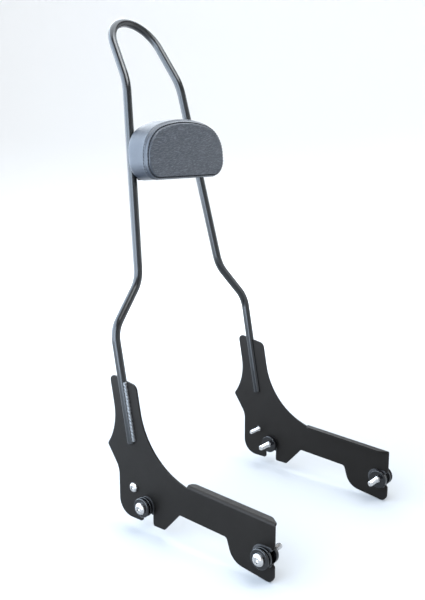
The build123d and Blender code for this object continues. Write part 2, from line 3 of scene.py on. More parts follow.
import bmesh
import bpy
from mathutils import Matrix, Vector, noise
from mathutils.kdtree import KDTree


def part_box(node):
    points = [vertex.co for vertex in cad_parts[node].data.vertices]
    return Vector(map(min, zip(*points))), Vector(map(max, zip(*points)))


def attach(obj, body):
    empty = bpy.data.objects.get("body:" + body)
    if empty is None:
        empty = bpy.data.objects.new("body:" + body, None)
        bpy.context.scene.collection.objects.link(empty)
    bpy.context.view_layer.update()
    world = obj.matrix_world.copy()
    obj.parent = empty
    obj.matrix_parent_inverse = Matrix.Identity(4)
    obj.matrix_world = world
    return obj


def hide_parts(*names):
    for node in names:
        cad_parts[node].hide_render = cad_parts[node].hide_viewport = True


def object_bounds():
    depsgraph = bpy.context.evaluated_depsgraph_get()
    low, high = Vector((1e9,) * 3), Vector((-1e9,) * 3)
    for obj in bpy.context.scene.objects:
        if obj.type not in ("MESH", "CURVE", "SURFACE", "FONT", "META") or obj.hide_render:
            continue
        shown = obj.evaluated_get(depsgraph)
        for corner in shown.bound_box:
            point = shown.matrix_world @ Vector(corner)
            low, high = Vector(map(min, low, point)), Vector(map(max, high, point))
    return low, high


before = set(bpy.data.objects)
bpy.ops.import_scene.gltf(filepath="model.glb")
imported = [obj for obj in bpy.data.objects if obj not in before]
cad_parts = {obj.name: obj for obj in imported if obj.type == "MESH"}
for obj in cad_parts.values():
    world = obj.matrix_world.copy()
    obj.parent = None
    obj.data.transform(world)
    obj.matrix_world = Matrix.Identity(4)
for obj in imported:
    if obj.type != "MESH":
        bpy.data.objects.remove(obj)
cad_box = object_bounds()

# Looks of a sissy bar, in metres: +X towards the rider's left, +Y rearwards, +Z up.

# Edges of folded, cut and turned pieces
CORNER_ANGLE = radians(32)  # sharper edges are rounded
FLAT_ANGLE = radians(0.4)
MERGE = 1e-6
EDGE_SEGMENTS = 2
FLAT_WEIGHT = 80
BAR_EDGE = 0.0004
PLATE_EDGE = 0.00045
MOUNT_EDGE = 0.0004
BOARD_EDGE = 0.0005
ZINC_EDGE = 0.0002
SPOOL_EDGE = 0.0003
LINER_EDGE = 0.0004

# Weld beads beside the legs
BAR_RADIUS = 0.00635
LEG_RAKE = radians(10.5)
PLATE_HALF = 0.0015  # half of a side plate's thickness: the leg's axis lies this far below its face
BEAD_RADIUS = 0.0033
BEAD_SETBACK = 0.001  # bead's axis from the bar's surface
BEAD_RIPPLES = 16
BEAD_LAG = 0.0030  # how far the middle of a ripple runs ahead of its edges
BEAD_TIP = 0.9  # turn from straight outwards to that middle
BEAD_POINT = 1.5  # how pointed the ripples are
BEAD_STEP = 0.2  # step from one ripple down to the next, of the radius
BEAD_UNEVEN = 0.07  # difference between ripples, of the radius
BEAD_NOISE = 3.7  # distance in the noise from ripple to ripple
BEAD_ROWS = 12  # rows of points to a ripple
BEAD_COLUMNS = 40
BEAD_ANGLE = radians(50)  # sharper edges of the bead are not smoothed

# Screws: (head radius, head height, socket, shank radius, grip, thread radius, thread, pitch)
DOCKING_BOLT = (0.0085, 0.0052, 0.006, 0.005, 0.0248, 0.004, 0.022, 0.00125)
LOCK_SCREW = (0.007, 0.0044, 0.005, 0.004, 0.003, 0.003, 0.022, 0.001)
PAD_SCREW = (0.00525, 0.0033, 0.004, 0.003, 0.0042, 0.0029, 0.0092, 0.001)
SCREW_COLUMNS = 48
SCREW_EDGE = 0.04  # rounding of edges, of the socket's width
SCREW_CHAMFER = 0.001
HEAD_CROWN = 1.35  # radius of the flat round the socket, of the socket's half width
HEAD_RIM = 0.42  # straight rim, of the head's height
HEAD_BULGE = 0.12  # rise of the dome over its chord, of the chord's length
HEAD_STEPS = 9  # steps down the dome
SOCKET_DEPTH = 0.55
SOCKET_DIMPLE = 0.55  # dimple in the socket's floor, of its width
THREAD_STEPS = 7  # rows of points to a turn
THREAD_DEPTH = 0.6  # this and the next two are shares of the pitch
THREAD_ROOT = 0.12  # flat at the root
THREAD_FLANKS = 0.74  # both flanks together

# Pad, in the plane of the bar's long runs: across, up from the waist points, forward of the bar's axes
PAD_ORIGIN = Vector((0, 0.0684, 0.3058))
PAD_LEAN = atan2(0.051, 0.2811)
PAD_BACK = 0.00665
PAD_THICKNESS = 0.0415
PAD_TILT = radians(7)
PAD_SHOULDER = 0.048
# Outlines: (bottom, half width, half width and height of the shoulders, peak, corner radius, crown radius)
BACK_OUTLINE = (0.1405, 0.091, 0.086, 0.0705, 0.099, 0.027, 0.150)
FRONT_OUTLINE = (0.1373, 0.0865, 0.0845, 0.0707, 0.0912, 0.025, 0.195)
ARC_POINTS = (34, 34, 50, 74, 50)  # on the corners, shoulders and crown
ARC_SHARE = 0.98  # most of a side that the arcs at its ends may take
SIDE_POINTS = (100, 8, 2, 2, 8)  # on the sides between them

# Seam between the pad's face and band, and the stitch line behind it
SEAM_DEPTH = 0.0036  # seam's bottom behind the face
SEAM_INSET = 0.0036  # and inside the outline
SEAM_DROP = 0.0020  # extra inset on the crown
SEAM_LIFT = 0.0009  # seam's thread above its bottom
SEAM_STITCH = 0.0040  # length of a stitch in the seam
SEAM_THREAD = 0.0008  # its radius
STITCH_DEPTH = 0.0097  # stitch line behind the face
STITCH_INSET = 0.0020
STITCH_PITCH = 0.0046
STITCH_LENGTH = 0.0032
STITCH_RADIUS = 0.0006
STITCH_LIFT = 0.0006
STITCH_STEPS = 8  # steps along a stitch, and points round it
STITCH_SWELL = 2.6  # how soon a stitch grows to its full width, and how far its middle rises
STITCH_SINK = 0.15  # how deep a stitch lies, of its radius
STITCH_DIP = 0.4  # how deep its ends go, of its radius

# Rows of points on the pad's cover, from the middle of its face to its back
PAD_START = 0.0012  # the cover starts this much smaller and is blown up to size
FACE_RINGS = 22
FACE_RIM = 0.004  # flat of the face ends this far inside the seam
# Depth behind the face and inset from the seam
FACE_EDGE = ((0.0001, 0.0026), (0.0004, 0.0014), (0.0010, 0.0006), (0.0018, 0.0002))
# Depth and inset from the seam
STRIP_ROWS = (
    (-0.0002, -0.0007), (-0.0010, -0.0011), (-0.0008, -0.0018), (0.0009, -0.0022), (0.0030, -0.0023),
)
# Depth from the stitch line and inset from the outline
STITCH_BEFORE = ((-0.0021, 0.0001), (-0.0009, 0.0006))
STITCH_AFTER = ((0.0009, 0.0008), (0.0021, PAD_START))
BAND_START = 0.0045  # plain band, from the stitch line
BAND_END = 0.002  # and to the back's rounding
BAND_ROWS = 8
BACK_ROUND = 0.008
BACK_STEPS = 6
POCKET_INSET = 0.0157
POCKET_DEPTH = 0.006
POCKET_MIDDLE = 0.185
BACK_INSETS = (0.0105, 0.013, POCKET_INSET - 0.0006)
POCKET_HEIGHTS = (0.0006, POCKET_DEPTH - 0.0004, POCKET_DEPTH)
POCKET_SHARES = (0.25, 0.5, 0.75)  # from the edge of the pocket's floor to its middle

# Puckers along the stitches
PUCKER_ROWS = 3  # rows before the seam and behind the stitch line
STITCH_REACH = 3.5  # rows over which a pucker fades
SEAM_REACH = 2.5
STITCH_PUCKER = 0.00030
SEAM_PUCKER = 0.00008
UNEVEN_PUCKER = 0.0003
UNEVEN_ALONG = 90  # unevenness along the rows, per metre
UNEVEN_ACROSS = 0.15  # and from row to row

# Cloth that blows the cover up
PAD_CAP = 0.006  # furthest that a point may swell
CLOTH_VOXEL = 0.0042
CLOTH_PRESSURE = 4.0
CLOTH_FRAMES = 20
CLOTH_QUALITY = 6
CLOTH_STIFFNESS = 18
CLOTH_BENDING = 1.2
CLOTH_NEAREST = 6  # points of the cloth that move a point of the cover
HELD_START = 1.6  # hold at a held point, capped at 1
HELD_FADE = 1.2  # how fast it fades, per voxel

# Pad screws behind the mount plate
SCREW_SPREAD = 0.036
SCREW_ROWS = 0.015
SCREW_MIDDLE = 0.173
WASHER_BACK = 0.00245

# Leather
DRIFT_SIZE = 0.011  # bends of the creases
DRIFT_REACH = 0.005
CREASE_SLANT = radians(10)
CREASE_SIZE = 0.0017
CREASE_STRETCH = (0.27, 1, 1.75)
PORE_SIZE = 0.0013

# Studio
FLOOR_GAP = 0.0005  # floor below the part
FLOOR_RADII = (0.3, 0.8, 1.5, 2.4)
FLOOR_COLUMNS = 96
WALL_CURVE = 2.6
WALL_STEPS = 12
SKY_COLOUR = (1.0, 0.99, 0.975, 1)
SKY_STRENGTH = 0.50
PART_MIDDLE = (0, 0.05, 0.36)
BLUE = (0.68, 0.82, 1.0)
PALE_BLUE = (0.84, 0.92, 1.0)
# Name, place, target, width, height, power and colour
SOFTBOXES = (
    ("softbox_left", (-1.08, 0.95, 1.1), (0, 0, 1.1), 3.0, 2.2, 158, BLUE),
    ("softbox_side", (-1.55, -0.42, 0.72), (0, 0, 0.72), 0.9, 1.5, 36, BLUE),
    ("softbox_back", (1.2, 1.45, 1.15), PART_MIDDLE, 2.0, 1.2, 18, PALE_BLUE),
    ("softbox_right", (1.5, -1.25, 0.6), PART_MIDDLE, 1.0, 1.2, 3, (0.9, 0.95, 1.0)),
    ("softbox_top", (0.5, 0.6, 1.95), PART_MIDDLE, 2.6, 2.6, 76, PALE_BLUE),
    ("softbox_front", (0.05, -0.8, 2.0), (0, 0.12, 0.6), 1.2, 1.1, 42, (0.93, 0.97, 1.0)),
)

# Camera, in the photograph's frame of 425 by 600 pixels
CAMERA_PLACE = (-0.9030, -0.7356, 0.5106)
CAMERA_YAW = radians(50.64)
CAMERA_PITCH = radians(11.65)
CAMERA_LENS = 48
HALF_PIXEL = 0.5 / 600


class Shader:
    """Principled material whose textures lie in the object's own space, in metres."""

    def __init__(self, name, **values):
        self.material = bpy.data.materials.new(name)
        self.material.use_nodes = True
        self.tree = self.material.node_tree
        self.surface = self.tree.nodes["Principled BSDF"]
        self.coordinates = self.tree.nodes.new("ShaderNodeTexCoord").outputs
        self.place = self.coordinates["Object"]
        self.normal = None
        for socket, value in values.items():
            self.surface.inputs[socket.replace("_", " ")].default_value = value

    def node(self, kind, inputs, **settings):
        """New node, with values or links for its inputs."""
        made = self.tree.nodes.new("ShaderNode" + kind)
        for setting, value in settings.items():
            setattr(made, setting, value)
        for socket, value in inputs.items():
            if isinstance(value, bpy.types.NodeSocket):
                self.tree.links.new(value, made.inputs[socket])
            else:
                made.inputs[socket].default_value = value
        return made

    def stretched(self, x, y, z):
        """Texture place with each axis scaled."""
        return self.node("Mapping", {"Vector": self.place, "Scale": (x, y, z)}).outputs["Vector"]

    def noise(self, size, detail, place=None, distortion=0.0):
        """Cloudy pattern with features of about a size."""
        inputs = {"Vector": place or self.place, "Scale": 1 / size, "Detail": detail}
        inputs["Distortion"] = distortion
        return self.node("TexNoise", inputs).outputs["Fac"]

    def cells(self, size, place):
        """Distance to the borders of cells of about a size."""
        inputs = {"Vector": place, "Scale": 1 / size}
        return self.node("TexVoronoi", inputs, feature="DISTANCE_TO_EDGE").outputs["Distance"]

    def spread(self, value, low, high, start=0.3, end=0.7):
        """A pattern's values from start to end spread from low to high."""
        inputs = {"Value": value, "From Min": start, "From Max": end, "To Min": low, "To Max": high}
        return self.node("MapRange", inputs).outputs["Result"]

    def colours(self, value, *stops):
        """A pattern's values turned to colours, by (position, colour) stops."""
        made = self.node("ValToRGB", {"Fac": value})
        ramp = made.color_ramp
        while len(ramp.elements) < len(stops):
            ramp.elements.new(1)
        for element, (position, colour) in zip(ramp.elements, stops):
            element.position = position
            element.color = (*colour, 1)
        return made.outputs["Color"]

    def bump(self, height, distance, strength=1.0):
        """Adds relief of a depth to the surface."""
        inputs = {"Height": height, "Distance": distance, "Strength": strength}
        if self.normal:
            inputs["Normal"] = self.normal
        self.normal = self.node("Bump", inputs).outputs["Normal"]

    def finish(self, **links):
        """Ties patterns to the surface's sockets and returns the material."""
        for socket, value in links.items():
            self.tree.links.new(value, self.surface.inputs[socket.replace("_", " ")])
        if self.normal:
            self.tree.links.new(self.normal, self.surface.inputs["Normal"])
        return self.material


def bar_paint():
    s = Shader("bar_satin_black", Specular_IOR_Level=0.5)
    cloud = s.noise(0.03, 4)
    s.bump(s.noise(0.0011, 2), 0.00003)
    shades = s.colours(cloud, (0.3, (0.002, 0.0023, 0.0028)), (0.7, (0.004, 0.0045, 0.0052)))
    return s.finish(Base_Color=shades, Roughness=s.spread(s.noise(0.008, 3), 0.16, 0.24))


def plate_paint():
    s = Shader("plate_powder_black", Specular_IOR_Level=0.16, Specular_Tint=(1, 0.9, 0.82, 1))
    cloud = s.noise(0.05, 4)
    s.bump(s.noise(0.0009, 2), 0.00008)
    s.bump(s.noise(0.004, 2), 0.00003)
    shades = s.colours(cloud, (0.3, (0.0032, 0.0029, 0.0026)), (0.7, (0.0048, 0.0044, 0.0040)))
    return s.finish(Base_Color=shades, Roughness=s.spread(s.noise(0.012, 3), 0.4, 0.5))


def weld_paint():
    s = Shader("weld_gloss_black", Specular_IOR_Level=0.8, Coat_Weight=0.4, Coat_Roughness=0.14)
    s.bump(s.noise(0.0012, 3), 0.0001)
    shades = s.colours(s.noise(0.004, 3), (0.3, (0.02, 0.02, 0.021)), (0.7, (0.05, 0.05, 0.052)))
    return s.finish(Base_Color=shades, Roughness=s.spread(s.noise(0.003, 3), 0.2, 0.34))


def spool_finish():
    s = Shader("spool_gloss_black", Specular_IOR_Level=0.3, Coat_Weight=0.2, Coat_Roughness=0.08)
    turning = s.noise(0.0007, 2, s.stretched(4, 0.2, 0.2))
    s.bump(turning, 0.00001)
    shades = s.colours(s.noise(0.01, 3), (0.3, (0.002, 0.002, 0.0024)), (0.7, (0.004, 0.004, 0.0045)))
    return s.finish(Base_Color=shades, Roughness=s.spread(s.noise(0.005, 3), 0.12, 0.2))


def bolt_steel():
    s = Shader("bolt_stainless", Metallic=1.0)
    s.bump(s.noise(0.0006, 3, s.stretched(1, 1, 5)), 0.000012)
    shades = s.colours(s.noise(0.004, 4), (0.3, (0.42, 0.41, 0.40)), (0.7, (0.58, 0.57, 0.56)))
    return s.finish(Base_Color=shades, Roughness=s.spread(s.noise(0.002, 5), 0.17, 0.34))


def zinc_plate():
    s = Shader("zinc_plate", Metallic=1.0)
    s.bump(s.noise(0.0008, 3), 0.00002)
    tones = ((0.25, (0.20, 0.205, 0.22)), (0.5, (0.28, 0.28, 0.27)), (0.75, (0.34, 0.32, 0.27)))
    shades = s.colours(s.noise(0.006, 5), *tones)
    return s.finish(Base_Color=shades, Roughness=s.spread(s.noise(0.003, 4), 0.28, 0.48))


def liner_nylon():
    s = Shader("liner_nylon", Specular_IOR_Level=0.5)
    s.bump(s.noise(0.0008, 2), 0.00004)
    shades = s.colours(s.noise(0.006, 4), (0.3, (0.016, 0.016, 0.017)), (0.7, (0.028, 0.028, 0.029)))
    return s.finish(Base_Color=shades, Roughness=s.spread(s.noise(0.004, 4), 0.34, 0.46))


def leather():
    """Grained leather with bent, slanting creases that show on the pad's face, where the crease ridges are
    coloured lighter as a painted highlight; the blue tint of its colours is a painted sky reflection.
    """
    s = Shader("pad_grained_leather", Specular_IOR_Level=0.6, Coat_Weight=0.1, Coat_Roughness=0.3)
    clouds = {"Vector": s.place, "Scale": 1 / DRIFT_SIZE, "Detail": 2.0}
    drift = s.node("TexNoise", clouds).outputs["Color"]
    bend = s.node("VectorMath", {0: drift, "Scale": DRIFT_REACH}, operation="SCALE").outputs["Vector"]
    bent = s.node("VectorMath", {0: s.place, 1: bend}, operation="ADD").outputs["Vector"]
    slant = s.node("Mapping", {"Vector": bent, "Rotation": (0, CREASE_SLANT, 0)}).outputs["Vector"]
    long = s.node("Mapping", {"Vector": slant, "Scale": CREASE_STRETCH}).outputs["Vector"]
    creases = s.noise(CREASE_SIZE, 3, long)
    pores = s.cells(PORE_SIZE, s.stretched(0.75, 1, 1.25))
    worn = s.noise(0.012, 3, s.stretched(0.6, 1, 1.2))
    facing = s.node("SeparateXYZ", {"Vector": s.coordinates["Normal"]}).outputs["Y"]
    face = s.spread(facing, 1, 0, -0.9, -0.6)
    sharp = s.spread(creases, 0, 1, 0.47, 0.76)
    crease_relief_and_painted_highlight = s.node("Math", {0: sharp, 1: face}, operation="MULTIPLY").outputs["Value"]
    s.bump(crease_relief_and_painted_highlight, 0.0004, 0.6)
    s.bump(pores, 0.00034, 0.6)
    s.bump(s.noise(0.0005, 2), 0.00003)
    # painted highlight: the creases on the face are coloured lighter, and the blue tint of both stops is a
    # painted sky reflection
    shades = s.colours(crease_relief_and_painted_highlight, (0.0, (0.0052, 0.0090, 0.0162)), (1.0, (0.064, 0.073, 0.088)))
    return s.finish(Base_Color=shades, Roughness=s.spread(worn, 0.40, 0.52))


def thread():
    s = Shader("pad_thread", Specular_IOR_Level=0.2, Roughness=0.6, Sheen_Weight=0.1)
    s.bump(s.noise(0.0004, 2), 0.00015)
    shades = s.colours(s.noise(0.001, 3), (0.3, (0.003, 0.003, 0.004)), (0.7, (0.009, 0.009, 0.011)))
    return s.finish(Base_Color=shades)


def plywood():
    s = Shader("board_plywood", Specular_IOR_Level=0.25)
    grain = s.noise(0.004, 6, s.stretched(0.12, 1, 1.6), 1.2)
    s.bump(grain, 0.0002, 0.6)
    tones = ((0.25, (0.13, 0.08, 0.045)), (0.5, (0.25, 0.17, 0.10)), (0.75, (0.33, 0.24, 0.15)))
    shades = s.colours(grain, *tones)
    return s.finish(Base_Color=shades, Roughness=s.spread(s.noise(0.003, 4), 0.55, 0.75))


def studio_floor():
    """Matt floor, grey below the part as painted shade and nearly white farther out."""
    s = Shader("studio_floor", Specular_IOR_Level=0.0, Roughness=1.0)
    away = s.node("VectorMath", {0: s.place}, operation="LENGTH").outputs["Value"]
    # painted shade: grey round the part, rising to near white between 0.5 and 2 m out
    tones = ((0.0, (0.34, 0.342, 0.345)), (1.0, (0.98, 0.965, 0.945)))
    return s.finish(Base_Color=s.colours(s.spread(away, 0, 1, 0.5, 2.0), *tones))


def skin(rings, first=None, last=None):
    """Mesh over rings of equally many points, closed by fans to a first and last point."""
    columns = len(rings[0])
    points = [point for ring in rings for point in ring]
    faces = []
    for r in range(len(rings) - 1):
        for c in range(columns):
            d = (c + 1) % columns
            faces.append((r * columns + c, r * columns + d, (r + 1) * columns + d, (r + 1) * columns + c))
    ends = [(first, 0, 1), (last, (len(rings) - 1) * columns, -1)]
    for tip, start, turn in ends:
        if tip is None:
            continue
        points.append(tip)
        for c in range(columns):
            pair = (start + (c + 1) % columns, start + c)
            faces.append((len(points) - 1, *pair[::turn]))
    mesh = bpy.data.meshes.new("skin")
    mesh.from_pydata(points, [], faces)
    mesh.validate()
    shape = bmesh.new()
    shape.from_mesh(mesh)
    bmesh.ops.recalc_face_normals(shape, faces=shape.faces)
    shape.to_mesh(mesh)
    shape.free()
    return mesh


def joined(meshes):
    """One mesh from several."""
    shape = bmesh.new()
    for mesh in meshes:
        shape.from_mesh(mesh)
        bpy.data.meshes.remove(mesh)
    mesh = bpy.data.meshes.new("joined")
    shape.to_mesh(mesh)
    shape.free()
    return mesh


def piece(name, mesh, material, slot, *nodes, sharp=CORNER_ANGLE):
    """Finished piece on the part, standing for CAD nodes."""
    mesh.name = name
    mesh.shade_smooth()
    if sharp:
        mesh.set_sharp_from_angle(angle=sharp)
    mesh.materials.append(material)
    made = bpy.data.objects.new(name, mesh)
    bpy.context.scene.collection.objects.link(made)
    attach(made, "root")
    if nodes:
        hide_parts(*nodes)
    return made


def softened(node, width, material, slot):
    """Copy of a CAD node with its sharp edges rounded."""
    shape = bmesh.new()
    shape.from_mesh(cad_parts[node].data)
    bmesh.ops.remove_doubles(shape, verts=shape.verts, dist=MERGE)
    bmesh.ops.dissolve_limit(shape, angle_limit=FLAT_ANGLE, verts=shape.verts, edges=shape.edges)
    corners = [e for e in shape.edges if e.is_manifold and e.calc_face_angle() > CORNER_ANGLE]
    bmesh.ops.bevel(
        shape, geom=corners, offset=width, offset_type="OFFSET", segments=EDGE_SEGMENTS, profile=0.5,
        affect="EDGES", clamp_overlap=True,
    )
    mesh = bpy.data.meshes.new(node)
    shape.to_mesh(mesh)
    shape.free()
    made = piece(node + "_finished", mesh, material, slot, node, sharp=None)
    flat = made.modifiers.new("flat_faces", "WEIGHTED_NORMAL")
    flat.weight = FLAT_WEIGHT


def weld_bead(side, node, material):
    """Bead in the corner between a leg and its plate, with crescent ripples."""
    along = Vector((0, sin(LEG_RAKE), cos(LEG_RAKE)))
    rear = Vector((0, cos(LEG_RAKE), -sin(LEG_RAKE)))
    solid = [v.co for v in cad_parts[node].data.vertices]
    start = min(p.dot(along) for p in solid)
    end = max(p.dot(along) for p in solid)
    crest = max(p.x * side for p in solid)
    face = min(p.x * side for p in solid)
    axis_rear = min(p.dot(rear) for p in solid) + BEAD_RADIUS
    axis_out = crest - BEAD_RADIUS
    leg_rear = axis_rear + BAR_RADIUS + BEAD_SETBACK
    leg_out = face - PLATE_HALF
    pitch = (end - start - 2 * BEAD_RADIUS) / (BEAD_RIPPLES - 1)
    rows = (BEAD_RIPPLES + 1) * BEAD_ROWS
    rings = []
    for r in range(rows + 1):
        s = start + (end - start) * r / rows
        taper = min(1, sqrt(max(0, min(s - start, end - s)) * 2 / BEAD_RADIUS))
        ring = []
        for c in range(BEAD_COLUMNS):
            turn = 2 * pi * c / BEAD_COLUMNS
            ahead = BEAD_LAG * max(0, cos(turn - BEAD_TIP)) ** BEAD_POINT
            phase = (s - start - BEAD_RADIUS + ahead) / pitch + 0.5
            step = phase - floor(phase)
            bulge = 1 - BEAD_STEP + BEAD_STEP * sqrt(1 - step**2)
            spot = Vector((floor(phase) * BEAD_NOISE, side, 2 * cos(turn)))
            wobble = 1 + BEAD_UNEVEN * noise.noise(spot)
            radius = BEAD_RADIUS * taper * bulge * wobble
            out = axis_out + radius * cos(turn)
            back = axis_rear - radius * sin(turn)
            out = max(out, face)
            gap = sqrt((out - leg_out) ** 2 + (back - leg_rear) ** 2)
            if gap < BAR_RADIUS:
                back = leg_rear + (back - leg_rear) * BAR_RADIUS / gap
                out = max(face, leg_out + (out - leg_out) * BAR_RADIUS / gap)
            ring.append(Vector((side * out, 0, 0)) + rear * back + along * s)
        rings.append(ring)
    middles = [sum(ring, Vector()) / BEAD_COLUMNS for ring in (rings[0], rings[-1])]
    mesh = skin(rings, *middles)
    piece(node + "_finished", mesh, material, "weld_black", node, sharp=BEAD_ANGLE)


def screw_mesh(place, sizes):
    """Button-head socket screw with a rolled thread: its seat at the place, its head along local Z."""
    head, height, socket, shank, grip, thread_radius, thread_length, pitch = sizes
    angles = [2 * pi * c / SCREW_COLUMNS for c in range(SCREW_COLUMNS)]
    crown = socket / 2 * HEAD_CROWN
    rim = height * HEAD_RIM
    floor_height = height * (1 - SOCKET_DEPTH)
    edge = socket * SCREW_EDGE

    def hexagon(grow):
        return [(socket / 2 + grow) / cos(a % (pi / 3) - pi / 6) for a in angles]

    rows = [
        ([SOCKET_DIMPLE * r for r in hexagon(0)], floor_height - edge),
        (hexagon(-edge), floor_height),
        (hexagon(0), floor_height + edge),
        (hexagon(0), height - edge),
        (hexagon(edge / 2), height),
    ]
    plain = [(crown, height)]
    for k in range(1, HEAD_STEPS):
        t = k / HEAD_STEPS
        lift = HEAD_BULGE * 4 * t * (1 - t)
        radius = crown + (head - crown) * t + lift * (height - rim)
        z = height - (height - rim) * t + lift * (head - crown)
        plain.append((radius, z))
    plain += [(head, rim), (head, edge), (head - edge, 0)]
    plain += [(shank, 0), (shank, -grip + edge), (shank - edge, -grip)]
    rows += [([radius] * SCREW_COLUMNS, z) for radius, z in plain]
    depth = THREAD_DEPTH * pitch
    root = thread_radius - depth
    rows.append(([root] * SCREW_COLUMNS, -grip))
    steps = ceil(thread_length / pitch * THREAD_STEPS)
    for k in range(1, steps):
        z = thread_length * k / steps
        room = min(1, z / pitch, (thread_length - z) / SCREW_CHAMFER)
        row = []
        for a in angles:
            phase = (z / pitch + a / (2 * pi)) % 1
            flank = min(1, max(0, (abs(2 * phase - 1) - THREAD_ROOT) / THREAD_FLANKS))
            row.append(root + depth * flank * room)
        rows.append((row, -grip - z))
    rows.append(([root] * SCREW_COLUMNS, -grip - thread_length))
    rings = []
    for radii, z in rows:
        rings.append([place @ Vector((r * cos(a), r * sin(a), z)) for r, a in zip(radii, angles)])
    ends = [place @ Vector((0, 0, z)) for z in (floor_height - 2 * edge, -grip - thread_length)]
    return skin(rings, *ends)


def side_screw(node, sizes, material):
    """Screw in a side plate, its head outwards."""
    low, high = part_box(node)
    side = 1 if high.x > 0 else -1
    head = high.x if side > 0 else low.x
    seat = Vector((head - side * sizes[1], (low.y + high.y) / 2, (low.z + high.z) / 2))
    place = Matrix.Translation(seat) @ Matrix.Rotation(side * pi / 2, 4, "Y")
    piece(node + "_finished", screw_mesh(place, sizes), material, "bolt_silver", node)


def pad_point(across, up, forward):
    """Point in the pad's plane."""
    rise = Vector((0, sin(PAD_LEAN), cos(PAD_LEAN)))
    ahead = Vector((0, -cos(PAD_LEAN), sin(PAD_LEAN)))
    return PAD_ORIGIN + Vector((across, 0, 0)) + rise * up + ahead * forward


def d_outline(bottom, half, shoulder_half, shoulder_height, peak, corner, crown):
    """Points round a D: flat bottom, leaning sides and a crowned top, each arc tangent to its sides."""
    shoulder = bottom + shoulder_height
    spots = [
        Vector((-half, bottom)), Vector((half, bottom)), Vector((shoulder_half, shoulder)),
        Vector((0, bottom + peak)), Vector((-shoulder_half, shoulder)),
    ]
    radii = (corner, corner, PAD_SHOULDER, crown, PAD_SHOULDER)
    count = len(spots)
    halves = []
    for i in range(count):
        halves.append((spots[i - 1] - spots[i]).angle(spots[(i + 1) % count] - spots[i]) / 2)
    wanted = [radius / tan(half_angle) for radius, half_angle in zip(radii, halves)]
    reach = []
    for i in range(count):
        shares = [1.0]
        for j in (i - 1, (i + 1) % count):
            shares.append(ARC_SHARE * (spots[j] - spots[i]).length / (wanted[i] + wanted[j]))
        reach.append(wanted[i] * min(shares))
    points = []
    for i in range(count):
        after = (i + 1) % count
        back = (spots[i - 1] - spots[i]).normalized()
        ahead = (spots[after] - spots[i]).normalized()
        radius = reach[i] * tan(halves[i])
        centre = spots[i] + (back + ahead).normalized() * radius / sin(halves[i])
        start = spots[i] + back * reach[i] - centre
        for k in range(ARC_POINTS[i]):
            turn = (pi - 2 * halves[i]) * k / ARC_POINTS[i]
            points.append(centre + Matrix.Rotation(turn, 2) @ start)
        side_start = spots[i] + ahead * reach[i]
        side_end = spots[after] - ahead * reach[after]
        points += [side_start.lerp(side_end, k / SIDE_POINTS[i]) for k in range(SIDE_POINTS[i])]
    return points


def outward(outline):
    """Outward directions at the points of an outline."""
    count = len(outline)
    steps = [outline[(i + 1) % count] - outline[i - 1] for i in range(count)]
    return [Vector((step.y, -step.x)).normalized() for step in steps]


class PadShape:
    """The pad's cover as a surface between its back and front outlines."""

    def __init__(self):
        back = d_outline(*BACK_OUTLINE)
        front = d_outline(*FRONT_OUTLINE)
        middle = FRONT_OUTLINE[0] + FRONT_OUTLINE[3] / 2
        self.back = [pad_point(p.x, p.y, PAD_BACK) for p in back]
        self.front = []
        for p in front:
            rise = p.y - middle
            forward = PAD_BACK + PAD_THICKNESS + rise * sin(PAD_TILT)
            self.front.append(pad_point(p.x, middle + rise * cos(PAD_TILT), forward))
        zero = pad_point(0, 0, 0)
        self.out = [pad_point(d.x, d.y, 0) - zero for d in outward(back)]
        self.columns = len(back)
        self.front_centre = sum(self.front, Vector()) / self.columns

    def ring(self, depth, inset, drop=0.0):
        """Points at a depth behind the front outline, moved in from the side, on the crown by a drop more."""
        ring = []
        for front, back, out in zip(self.front, self.back, self.out):
            line = back - front
            lower = drop * max(0, out.z) ** 2
            ring.append(front + line * (depth / line.length) - out * (inset + lower))
        return ring

    def back_ring(self, height, inset):
        """Points at a height ahead of the back outline, moved in from the side."""
        ring = []
        for front, back, out in zip(self.front, self.back, self.out):
            line = front - back
            ring.append(back + line * (height / line.length) - out * inset)
        return ring


